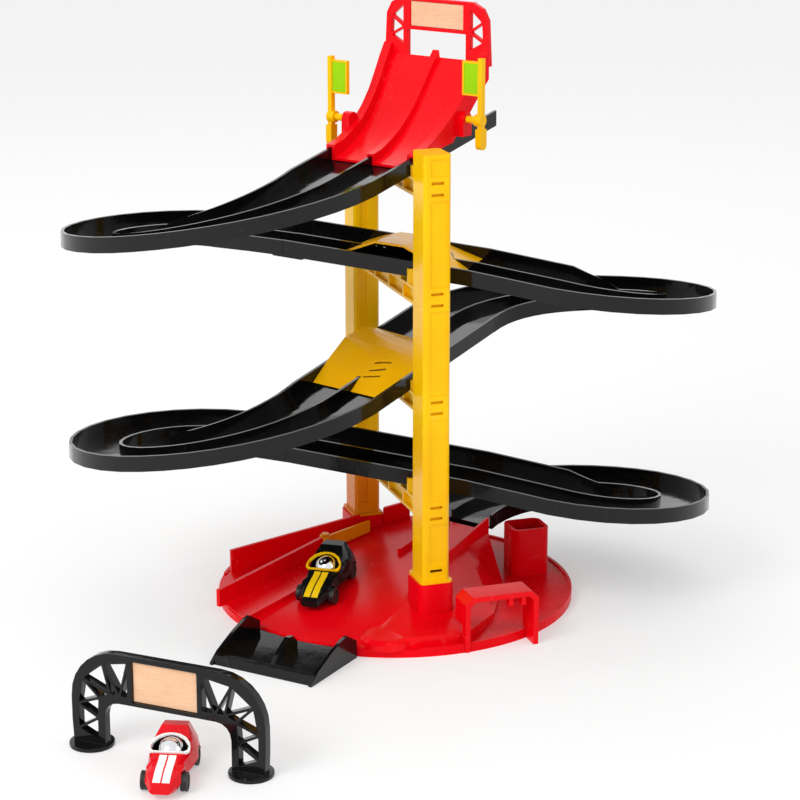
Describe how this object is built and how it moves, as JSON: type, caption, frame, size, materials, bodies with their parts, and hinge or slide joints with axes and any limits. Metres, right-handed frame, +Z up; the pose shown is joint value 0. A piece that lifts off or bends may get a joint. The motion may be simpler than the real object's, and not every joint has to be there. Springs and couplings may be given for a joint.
{
  "type": "toy race tower",
  "caption": "Tall toy race tower: columns on a round base hold a laned track that winds down in crossing loops from a start ramp with flags to a run-out, with cars and a finish arch.",
  "frame": {"origin": "centre of the round base, on its underside", "axes": "+Z up; +Y from the front column to the rear column; +X to the right, the side of the second and fourth loop"},
  "size_m": [0.6088, 0.5012, 0.508],
  "materials": {
    "red": "glossy moulded red",
    "yellow": "glossy moulded yellow",
    "black": "glossy moulded black",
    "green": "satin lime green",
    "white": "glossy white",
    "wheel_black": "satin black",
    "sign_wood": "clear-coated pale beech",
    "silver": "polished"
  },
  "bodies": {
    "tower": {"base_plate": "red", "finish_deck": "red", "side_hook": "red", "exit_ramp": "black", "diverter_pin": "yellow", "front_post": "yellow", "rear_post": "yellow", "frame_lower": "yellow", "frame_middle": "yellow", "frame_upper": "yellow", "frame_top": "yellow", "track_loop_1": "black", "track_loop_2": "black", "track_loop_3": "black", "track_loop_4": "black", "bump_cover_upper": "yellow", "bump_cover_lower": "yellow", "start_ramp": "red", "start_portal": "red", "start_sign": "sign_wood", "finish_arch": "black", "finish_sign": "sign_wood"},
    "diverter": {"diverter": "yellow"},
    "near_lever": {"near_lever": "yellow", "near_flag": "green"},
    "far_lever": {"far_lever": "yellow", "far_flag": "green"},
    "black_car": {"black_car_body": "black", "black_car_ring": "yellow", "black_car_driver": "silver"},
    "black_car_front_axle": {"black_car_front_wheels": "wheel_black"},
    "black_car_rear_axle": {"black_car_rear_wheels": "wheel_black"},
    "red_car": {"red_car_body": "red", "red_car_ring": "white", "red_car_driver": "silver"},
    "red_car_front_axle": {"red_car_front_wheels": "wheel_black"},
    "red_car_rear_axle": {"red_car_rear_wheels": "wheel_black"}
  },
  "joints": [
    {"name": "diverter_swing", "type": "hinge", "parent": "tower", "child": "diverter", "pos_m": [-0.048, 0.051, 0.03308], "axis": [0, 0, 1], "range_deg": [-50, 8]},
    {"name": "near_lever_swing", "type": "hinge", "parent": "tower", "child": "near_lever", "pos_m": [0.05989, -0.03771, 0.4166], "axis": [0.5664, -0.8241, 0], "range_deg": [0, 70]},
    {"name": "far_lever_swing", "type": "hinge", "parent": "tower", "child": "far_lever", "pos_m": [-0.03682, 0.05357, 0.411], "axis": [0.5664, -0.8241, 0], "range_deg": [0, 70]},
    {"name": "black_car_roll", "type": "slide", "parent": "tower", "child": "black_car", "axis": [-0.6035, -0.7803, -0.164], "range_m": [-0.03, 0.03]},
    {"name": "black_car_front_spin", "type": "hinge", "parent": "black_car", "child": "black_car_front_axle", "pos_m": [-0.08514, -0.04695, 0.0244], "axis": [0.7877, -0.6154, 0.0293], "range_deg": [-540, 540]},
    {"name": "black_car_rear_spin", "type": "hinge", "parent": "black_car", "child": "black_car_rear_axle", "pos_m": [-0.05859, -0.01261, 0.03161], "axis": [0.7877, -0.6154, 0.0293], "range_deg": [-540, 540]},
    {"name": "red_car_roll", "type": "slide", "parent": "tower", "child": "red_car", "axis": [-0.4067, -0.9135, 0], "range_m": [-0.06, 0.06]},
    {"name": "red_car_front_spin", "type": "hinge", "parent": "red_car", "child": "red_car_front_axle", "pos_m": [-0.28295, -0.3271, 0.007], "axis": [0.9135, -0.4067, 0], "range_deg": [-540, 540]},
    {"name": "red_car_rear_spin", "type": "hinge", "parent": "red_car", "child": "red_car_rear_axle", "pos_m": [-0.26505, -0.2869, 0.007], "axis": [0.9135, -0.4067, 0], "range_deg": [-540, 540]}
  ],
  "couplings": [
    {"joint": "black_car_front_spin", "follows": "black_car_roll", "rad_per_m": 142.86},
    {"joint": "black_car_rear_spin", "follows": "black_car_roll", "rad_per_m": 142.86},
    {"joint": "red_car_front_spin", "follows": "red_car_roll", "rad_per_m": 142.86},
    {"joint": "red_car_rear_spin", "follows": "red_car_roll", "rad_per_m": 142.86}
  ]
}
